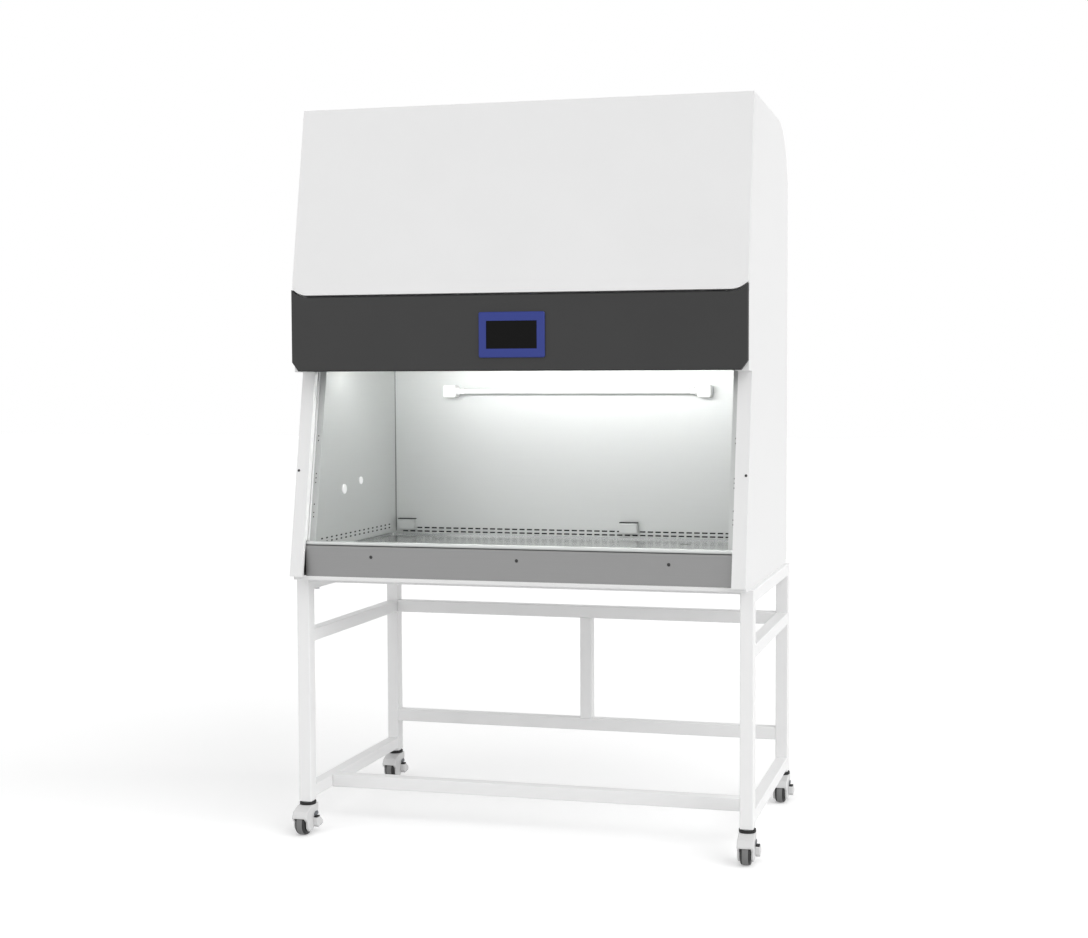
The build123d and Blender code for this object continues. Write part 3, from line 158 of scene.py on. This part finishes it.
# %% Lamps
def soft_sun(name, direction, strength, width):
    """A sun whose light comes from a direction, with a disc this many degrees wide."""
    data = bpy.data.lights.new(name, "SUN")
    data.energy = strength
    data.angle = math.radians(width)
    lamp = bpy.data.objects.new(name, data)
    lamp.rotation_euler = Vector(direction).to_track_quat("Z", "Y").to_euler()
    bpy.context.scene.collection.objects.link(lamp)


soft_sun("right_lamp", (0.755, -0.311, 0.577), 1.7, 60.0)
soft_sun("front_lamp", (-0.447, -0.716, 0.537), 0.5, 60.0)


# %% [markdown]
# ## Powder coat
#
# Powder coat is a plastic film baked on to steel. It is satin, and its skin has a fine orange peel about a
# millimetre and a half across. A noise of that size moves the bump and the roughness a little, and a second noise,
# as wide as a hand, keeps the large panels from looking like flat colour.

# %% Powder coat
def start_material(name, **shader_values):
    """A material with one Principled shader, whose constants are set on its own sockets."""
    material = bpy.data.materials.new(name)
    material.use_nodes = True
    tree = material.node_tree
    tree.nodes.clear()
    shader = add(tree, "ShaderNodeBsdfPrincipled", {k.replace("_", " "): v for k, v in shader_values.items()})
    add(tree, "ShaderNodeOutputMaterial", {"Surface": shader.outputs[0]})
    return material, tree, shader


def vary(tree, shader, vector, scale, light, dark, rough, detail=2.0):
    """Colour between two shades and roughness between two values, both led by one noise."""
    noise = add(tree, "ShaderNodeTexNoise", {"Vector": vector, "Scale": scale, "Detail": detail})
    shade = add(tree, "ShaderNodeMix", {0: noise.outputs["Fac"], 6: colour(dark), 7: colour(light)},
                data_type="RGBA")
    tree.links.new(shade.outputs[2], shader.inputs["Base Color"])
    spread = add(tree, "ShaderNodeMapRange", {"Value": noise.outputs["Fac"], "From Min": 0.3, "From Max": 0.7,
                                              "To Min": rough[0], "To Max": rough[1]})
    tree.links.new(spread.outputs[0], shader.inputs["Roughness"])
    return noise


def powder_coat(name, light, dark, rough, peel_mm=1.5, peel_height=0.00002):
    """Baked powder film with orange peel."""
    material, tree, shader = start_material(name)
    place = add(tree, "ShaderNodeTexCoord").outputs["Object"]
    vary(tree, shader, place, 4.0, light, dark, rough)
    peel = add(tree, "ShaderNodeTexNoise", {"Vector": place, "Scale": 1000 / peel_mm / 2, "Detail": 1.0})
    bump = add(tree, "ShaderNodeBump",
               {"Height": peel.outputs["Fac"], "Strength": 0.25, "Distance": peel_height})
    tree.links.new(bump.outputs[0], shader.inputs["Normal"])
    return material


casing_coat = powder_coat("powder_coat_casing_white", "#EAEAEA", "#E4E4E4", (0.38, 0.48))
stand_coat = powder_coat("powder_coat_stand_grey_white", "#F1F1F1", "#ECECEC", (0.36, 0.46))
band_coat = powder_coat("powder_coat_band_charcoal", "#272727", "#232323", (0.5, 0.6), 1.0, 0.00003)
print("powder coats", casing_coat.name, stand_coat.name, band_coat.name)


# %% [markdown]
# ## Brushed stainless steel
#
# Chamber sheet is type 304 with a brushed face. The belt leaves scratches far longer than they are wide, so the
# pattern is a noise that is stretched along one axis. Real scratches are a tenth of a millimetre apart, which is
# too fine to show, so they are drawn about a millimetre apart. They change the roughness and the height.

# %% Brushed steel
def brushed_steel(name, light, dark, rough, grain=(3.0, 500.0, 500.0), metallic=1.0):
    """Stainless steel with scratches along the axis that has the smallest grain value."""
    material, tree, shader = start_material(name, Metallic=metallic)
    place = add(tree, "ShaderNodeTexCoord").outputs["Object"]
    stretched = add(tree, "ShaderNodeMapping", {"Vector": place, "Scale": grain})
    scratches = vary(tree, shader, stretched.outputs[0], 1.0, light, dark, rough, 3.0)
    bump = add(tree, "ShaderNodeBump",
               {"Height": scratches.outputs["Fac"], "Strength": 0.12, "Distance": 0.00002})
    tree.links.new(bump.outputs[0], shader.inputs["Normal"])
    return material


along_y, along_z = (500.0, 3.0, 500.0), (500.0, 500.0, 3.0)
wall_steel = brushed_steel("stainless_304_rear_wall", "#C6C8C7", "#BCBEBD", (0.44, 0.54), metallic=0.7)
side_steel = brushed_steel("stainless_304_side_wall", "#C6C8C7", "#BABCBB", (0.44, 0.54), along_y, 0.6)
panel_steel = brushed_steel("stainless_304_lower_panel", "#969696", "#8E8E8E", (0.5, 0.6))
# The cove's steel is darker than the walls: painted shade in the rear corners.
cove_steel_painted_shade = brushed_steel("stainless_304_corner_cove_painted_shade", "#868887", "#7C7E7D", (0.3, 0.4), along_z)
tray_steel = brushed_steel("stainless_304_work_surface", "#BEC0BF", "#B2B4B3", (0.16, 0.24))
lip_steel = brushed_steel("stainless_304_armrest", "#C4C6C5", "#B8BAB9", (0.4, 0.5))
print("steels made")

# %% [markdown]
# ## Plastics, rubber, zinc and glass
#
# The display frame and the castor hoods are injection moulded: the tool's fine spark-eroded texture gives them a
# dull, even gloss. The screen has a matt film that keeps reflections down. Zinc plate has a faint mottle. Filter
# paper is soft and white. One function makes all the moulded ones and another all the metals, because they differ
# only in colour, roughness and the size of their grain.

# %% Moulded plastic and rubber
def moulded(name, light, dark, rough, grain_mm=0.8, height=0.00003, **gloss):
    """Moulded plastic or rubber with a spark-eroded grain."""
    material, tree, shader = start_material(name, **gloss)
    place = add(tree, "ShaderNodeTexCoord").outputs["Object"]
    grain = vary(tree, shader, place, 1000 / grain_mm / 2, light, dark, rough)
    bump = add(tree, "ShaderNodeBump", {"Height": grain.outputs["Fac"], "Strength": 0.3, "Distance": height})
    tree.links.new(bump.outputs[0], shader.inputs["Normal"])
    return material


bezel_plastic = moulded("abs_display_frame_blue", "#203386", "#1C2E7C", (0.45, 0.55))
screen_plastic = moulded("acrylic_screen_black", "#0A0A0A", "#070707", (0.45, 0.5), 40.0, 0.0,
                         Specular_IOR_Level=0.1)
hood_plastic = moulded("nylon_castor_hood_grey", "#DADADA", "#D2D2D2", (0.42, 0.52))
tread_rubber = moulded("polyurethane_tread_grey", "#7C7C7C", "#6A6A6A", (0.5, 0.62))
core_plastic = moulded("nylon_wheel_core_black", "#0E0E0E", "#080808", (0.4, 0.5))
lever_plastic = moulded("nylon_brake_lever_grey", "#6A6E72", "#5E6266", (0.45, 0.55))
seal_rubber = moulded("epdm_seal_black", "#0A0A0A", "#060606", (0.55, 0.7))
fitting_plastic = moulded("abs_fitting_white", "#F2F2F2", "#ECECEC", (0.34, 0.44))
# Black for the sheets of painted shade behind the openings of the chamber.
painted_shade_black = moulded("black_painted_shade_sheet", "#121212", "#0C0C0C", (0.7, 0.8), 1.2, 0.0002)
filter_paper = moulded("glass_fibre_filter_paper", "#EFEFEA", "#E4E4DE", (0.8, 0.9), 2.0, 0.0002)
print("plastics made")


# %% Plated metal and cast metal
def plated(name, light, dark, rough, mottle_mm):
    """Plated or cast metal with a soft mottle."""
    material, tree, shader = start_material(name, Metallic=1.0)
    place = add(tree, "ShaderNodeTexCoord").outputs["Object"]
    vary(tree, shader, place, 1000 / mottle_mm / 2, light, dark, rough)
    return material


screw_steel = plated("blackened_screw_steel", "#4A4A4A", "#3E3E3E", (0.4, 0.5), 4.0)
zinc_plate = plated("zinc_plated_steel", "#C4C6C8", "#B4B6B8", (0.3, 0.45), 6.0)
galvanised = plated("galvanised_sheet", "#BEC2C4", "#A8ACAE", (0.4, 0.55), 22.0)
anodised = plated("anodised_aluminium", "#C8CACB", "#C0C2C3", (0.32, 0.4), 3.0)
cast_metal = plated("cast_aluminium_housing", "#9A9C9E", "#8A8C8E", (0.5, 0.65), 2.0)
print("metals made")

# %% [markdown]
# ## Glass and lamps
#
# The sash is laminated safety glass, which lets the light through and bends it a little. The work lamp shines
# through opal acrylic. A lamp object inside could light it, but a surface that shines by itself looks the same
# from every side, so the diffuser gets emission. The germicidal tube is off and has only a faint glow.

# %% Glass and lit tubes
diffuser_strength = 30.0
tube_strength = 0.15

sash_glass_material, glass_tree, glass_shader = start_material(
    "laminated_safety_glass", Transmission_Weight=1.0, IOR=1.5)
glass_place = add(glass_tree, "ShaderNodeTexCoord").outputs["Object"]
vary(glass_tree, glass_shader, glass_place, 3.0, "#F4FAF7", "#EEF6F2", (0.0, 0.02))
tube_glass, tube_tree, tube_shader = start_material(
    "quartz_lamp_tube", Emission_Color=colour("#FFFFFF"), Emission_Strength=tube_strength)
tube_place = add(tube_tree, "ShaderNodeTexCoord").outputs["Object"]
vary(tube_tree, tube_shader, tube_place, 30.0, "#F8F8F8", "#F0F0F0", (0.1, 0.2))
lit_acrylic, lit_tree, lit_shader = start_material(
    "opal_acrylic_diffuser_lit", Emission_Color=colour("#FFFFFF"), Emission_Strength=diffuser_strength)
lit_place = add(lit_tree, "ShaderNodeTexCoord").outputs["Object"]
vary(lit_tree, lit_shader, lit_place, 60.0, "#FFFFFF", "#FAFAFA", (0.4, 0.5))
print("glass made")

# %% [markdown]
# ## Finishes on the model's own parts
#
# Most of the model's parts already have the right shape, so they only get a finish. One table maps the start of a
# part's name to its material, and the loop gives each part the material of the longest start that matches.

# %% Dress the model's parts
finish_of = {
    "outer_side_panel": casing_coat, "top_panel": casing_coat, "rear_panel": casing_coat,
    "base_plate": casing_coat, "front_cover": casing_coat,
    "stand_side_frame": stand_coat, "stand_rear_rail": stand_coat,
    "stand_foot_rail": stand_coat, "stand_center_strut": stand_coat, "stand_top_rails": stand_coat,
    "stand_bolts": zinc_plate, "control_band": band_coat, "display_bezel": bezel_plastic,
    "display_screen": screen_plastic, "cover_hinge_rod": zinc_plate, "inner_rear_wall": wall_steel,
    "inner_side_wall": side_steel, "service_port_plugs": fitting_plastic, "front_grille": lip_steel,
    "work_surface": tray_steel, "lower_front_panel": panel_steel, "panel_screws": screw_steel,
    "sash_glass": sash_glass_material, "sash_handle": anodised, "sash_guides": casing_coat,
    "sash_drive_shaft": zinc_plate, "shaft_bearings": cast_metal, "sash_motor": cast_metal,
    "supply_filter": filter_paper, "pressure_plenum": galvanised, "blower_housing": galvanised,
    "blower_impeller": galvanised, "blower_motor": cast_metal, "exhaust_filter": filter_paper,
    "exhaust_grille": galvanised, "work_lamp": fitting_plastic, "uv_lamp_holders": fitting_plastic,
    "uv_lamp": tube_glass, "socket_boxes": wall_steel, "socket_flap": wall_steel,
    "power_inlet": seal_rubber, "caster_fork": hood_plastic, "caster_pedal": hood_plastic,
    "caster_wheel": core_plastic, "caster_stems": zinc_plate, "caster_seal_rings": seal_rubber,
}
for name, node in frame["nodes"].items():
    start = max((key for key in finish_of if name.startswith(key)), key=len)
    node.data.materials.clear()
    node.data.materials.append(finish_of[start])
print(len(frame["nodes"]), "parts dressed")


# %% [markdown]
# ## New pieces
#
# Every new piece is a mesh that rides on one of the model's bodies. One function ends a mesh: it makes the object,
# gives it a material, and says which body carries it.

# %% Finish a new piece
def new_piece(name, bm, material, body, smooth=True):
    """Turns a bmesh into an object that rides on a body."""
    bmesh.ops.remove_doubles(bm, verts=bm.verts, dist=1e-6)
    bmesh.ops.recalc_face_normals(bm, faces=bm.faces)
    mesh = bpy.data.meshes.new(name)
    bm.to_mesh(mesh)
    bm.free()
    if smooth:
        mesh.shade_smooth()
    mesh.materials.append(material)
    piece = bpy.data.objects.new(name, mesh)
    bpy.context.scene.collection.objects.link(piece)
    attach(piece, body)
    return piece


joint_of = {joint["name"]: joint for joint in frame["joints"]}

# %% [markdown]
# ## Castor wheels
#
# A castor wheel of this size is a black nylon core with a grey tread moulded round it. Both are turned shapes, so
# each is a short profile that is spun round the axle. The CAD wheel is one colour, so the two pieces replace it.


# %% Turn a profile round an axle
def turned(profile, centre, axle, steps=56):
    """Spins a closed profile of (along the axle, radius) pairs round the axle."""
    bm = bmesh.new()
    out = axle.orthogonal().normalized()
    ring = [bm.verts.new(centre + axle * along + out * radius) for along, radius in profile]
    edges = [bm.edges.new(pair) for pair in zip(ring, ring[1:] + ring[:1])]
    bmesh.ops.spin(bm, geom=ring + edges, cent=centre, axis=axle, angle=2 * math.pi, steps=steps,
                   use_merge=True)
    return bm


tread_profile = [(-0.0088, 0.0330), (-0.0090, 0.0364), (-0.0078, 0.0372), (-0.0040, 0.0375), (0.0040, 0.0375),
                 (0.0078, 0.0372), (0.0090, 0.0364), (0.0088, 0.0330)]
core_profile = [(-0.0162, 0.0042), (-0.0162, 0.0100), (-0.0150, 0.0115), (-0.0118, 0.0122), (-0.0112, 0.0215),
                (-0.0142, 0.0232), (-0.0150, 0.0262), (-0.0150, 0.0318), (-0.0137, 0.0345), (-0.0112, 0.0359),
                (-0.0091, 0.0361), (0.0091, 0.0361), (0.0112, 0.0359), (0.0137, 0.0345), (0.0150, 0.0318),
                (0.0150, 0.0262), (0.0142, 0.0232), (0.0112, 0.0215), (0.0118, 0.0122), (0.0150, 0.0115),
                (0.0162, 0.0100), (0.0162, 0.0042)]
corners = [end + "_" + side for end in ("front", "rear") for side in ("left", "right")]
for corner in corners:
    joint = joint_of["roll_" + corner]
    hub, axle = Vector(joint["pos_m"]), Vector(joint["axis"]).normalized()
    new_piece("wheel_tread_" + corner, turned(tread_profile, hub, axle), tread_rubber, joint["child"])
    core = new_piece("wheel_core_" + corner, turned(core_profile, hub, axle), core_plastic, joint["child"])
    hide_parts("caster_wheel_" + corner)
print("wheels at", corners)

# %% [markdown]
# ## Pulled sections
#
# The rest of the new pieces are small: each is a section that is drawn once, as pairs of numbers, and pulled
# straight along a third direction. Some of them get bevelled edges, because no folded or moulded edge is perfectly
# sharp.


# %% Pull a section along a direction
X, Y, Z = Vector((1, 0, 0)), Vector((0, 1, 0)), Vector((0, 0, 1))


def pulled(section, first, second, along, start, end, origin=Vector(), bevel=0.0):
    """Pulls a closed section, drawn in the first two directions, along the third."""
    bm = bmesh.new()
    cap = bm.faces.new([bm.verts.new(origin + first * a + second * b + along * start) for a, b in section])
    grown = bmesh.ops.extrude_face_region(bm, geom=[cap], use_keep_orig=True)["geom"]
    moved = [v for v in grown if isinstance(v, bmesh.types.BMVert)]
    bmesh.ops.translate(bm, verts=moved, vec=along * (end - start))
    bmesh.ops.recalc_face_normals(bm, faces=bm.faces)
    if bevel:
        bmesh.ops.bevel(bm, geom=bm.edges[:], offset=bevel, segments=2, profile=0.5, affect="EDGES",
                        material=-1)
    return bm


def join(target, *others):
    """Adds other bmeshes to a bmesh."""
    for other in others:
        mesh = bpy.data.meshes.new("joined")
        other.to_mesh(mesh)
        other.free()
        target.from_mesh(mesh)
        bpy.data.meshes.remove(mesh)
    return target


def block(low, high, bevel=0.0):
    """A box between two corners."""
    section = [(low[0], low[1]), (high[0], low[1]), (high[0], high[1]), (low[0], high[1])]
    return pulled(section, X, Y, Z, low[2], high[2], bevel=bevel)


print("directions", X[:], Y[:], Z[:])

# %% [markdown]
# ## Inside the chamber
#
# The work lamp has a lit opal diffuser on its lower and rear faces, so the light fades down the rear wall. It is a
# thin bent strip that lies on the lamp's own faces. A small cove rounds each rear corner, as on chambers that are
# wiped down: it could be a bevel of the wall, but the wall is one of the model's parts, so the cove is a strip.
# Its steel is darker than the walls' steel, which is painted shade in the corners.

# %% Lit diffuser of the work lamp
lamp_section = [(-0.2184, 1.4446), (-0.1976, 1.4446), (-0.1874, 1.4548), (-0.1874, 1.4740), (-0.1879, 1.4740),
                (-0.1879, 1.4550), (-0.1978, 1.4449), (-0.2184, 1.4449)]
lamp_half_length = 0.585
lit_strip = pulled(lamp_section, Y, Z, X, -lamp_half_length, lamp_half_length)
new_piece("work_lamp_diffuser", lit_strip, lit_acrylic, "cabinet", False)
print("diffuser is", 2 * lamp_half_length, "m long")

# %% Coved corners
half_width, rear, cove = 0.6319, 0.2759, 0.003
cove_bottom, cove_top = 0.880, 1.4745
arc = [(math.cos(math.radians(a)) * cove, math.sin(math.radians(a)) * cove) for a in range(0, 91, 10)]
coves = []
for side in (-1, 1):
    section = [(side * (half_width - cove + c), rear - cove + d) for c, d in arc]
    section.append((side * half_width, rear))
    coves.append(pulled(section, X, Y, Z, cove_bottom, cove_top))
new_piece("chamber_corner_coves", join(*coves), cove_steel_painted_shade, "cabinet", False)
print("coves have a radius of", cove, "m")

# %% [markdown]
# ## Painted shade in the dark openings and over the socket boxes
#
# Air goes back through rows of slots low in the walls, and there is only darkness behind them. Black sheets
# of painted shade stand for it behind the rear wall, in the thickness of the side walls, and behind the small
# fixing holes beside the sash. A thin black strip on top of each socket box is painted shadow in the gap over it.

# %% Painted shade behind the openings of the chamber's walls
lean = math.tan(math.radians(10))   # the cabinet's front leans back
front_foot = (-0.410, 0.8)          # Y and Z where the leaning front starts
holes_back = 0.0412                 # from the front face to the back of the flange with the holes
holes_z = (0.960, 1.235)
shade_sheet_thickness = 0.0004
# Black sheets of painted shade, where there is only darkness behind the openings.
meshes = [block((-0.6300, 0.2786, 0.8740), (0.6300, 0.2790, 0.8980))]
for side in (-1, 1):
    near, far = sorted((side * 0.6326, side * 0.6345))
    meshes.append(block((near, -0.3300, 0.8890), (far, 0.2450, 0.9120)))
    strip = [(front_foot[0] + (z - front_foot[1]) * lean + holes_back, z) for z in holes_z]
    strip += [(y + shade_sheet_thickness, z) for y, z in reversed(strip)]
    meshes.append(pulled(strip, Y, Z, X, side * 0.6400, side * 0.6490))
new_piece("painted_shade_behind_openings", join(*meshes), painted_shade_black, "cabinet", False)
print(len(meshes), "sheets of painted shade")

# %% Painted shadow over the socket boxes
socket_x, shadow_half_width = (-0.588, 0.189), 0.031
# A thin black strip on top of each box: painted shadow in the gap over it.
socket_shadow_strips = [block((x - shadow_half_width, 0.2600, 0.9212), (x + shadow_half_width, 0.2758, 0.9240), 0.0006)
         for x in socket_x]
new_piece("socket_box_painted_shadows", join(*socket_shadow_strips), seal_rubber, "cabinet")
print(len(socket_shadow_strips), "socket_shadow_strips")

# %% [markdown]
# ## Brake levers
#
# Each castor's pedal has a dark release tab on top, with a flat grey lever beside the hood. A thin dark strip
# under its toe is painted shadow. The castors stand turned by different angles, so the sections are drawn in the
# pedal's own directions, which come from its joint. They ride on the pedal's body and turn with it.

# %% Brake levers on the pedals
tab = [(-0.014, 0.0496), (0.005, 0.0496), (0.005, 0.0540), (-0.014, 0.0540)]
plate = [(-0.010, 0.0538), (0.016, 0.0538), (0.016, 0.0600), (0.010, 0.0660), (-0.004, 0.0660),
         (-0.010, 0.0600)]
# A thin dark strip under the toe: painted shadow.
toe_shadow = [(0.0070, 0.0200), (0.0240, 0.0247), (0.0244, 0.0262), (0.0066, 0.0215)]
for corner in corners:
    swivel = Vector(joint_of["swivel_" + corner]["pos_m"])
    across = -Vector(joint_of["brake_" + corner]["axis"]).normalized()
    back = Z.cross(across)
    foot = Vector((swivel.x, swivel.y, 0.0))
    tab_and_toe_shadow = pulled(tab, back, Z, across, 0.0250, 0.0368, foot, 0.0006)
    tab_and_toe_shadow = join(tab_and_toe_shadow, pulled(toe_shadow, back, Z, across, 0.0262, 0.0372, foot, 0.0003))
    rides_on = joint_of["brake_" + corner]["child"]
    new_piece("brake_tab_and_toe_shadow_" + corner, tab_and_toe_shadow, seal_rubber, rides_on)
    plates = pulled(plate, back, Z, across, 0.0250, 0.0268, foot, 0.0004)
    new_piece("brake_lever_" + corner, plates, lever_plastic, rides_on)
print("levers at", corners)

# %% [markdown]
# ## Edging of the band
# ## Painted shade along the band's edges
# Thin black strips of painted shade run along the upper and lower edges of the band, where its seams are in shade.
# A darker stripe in the band's material could draw them, but separate strips are simpler to place.

# %% Painted shade along the band's edges
band_y = (-0.3754, -0.3750)
# Black strips of painted shade on the band's upper and lower edges.
band_edge_shade = [block((-0.6712, band_y[0], 1.4141), (0.6712, band_y[1], 1.4166)),
          block((-0.6412, band_y[0], 1.6322), (0.6412, band_y[1], 1.6348))]
new_piece("band_edge_painted_shade", join(*band_edge_shade), seal_rubber, "cabinet", False)
print("edging at Y", band_y)
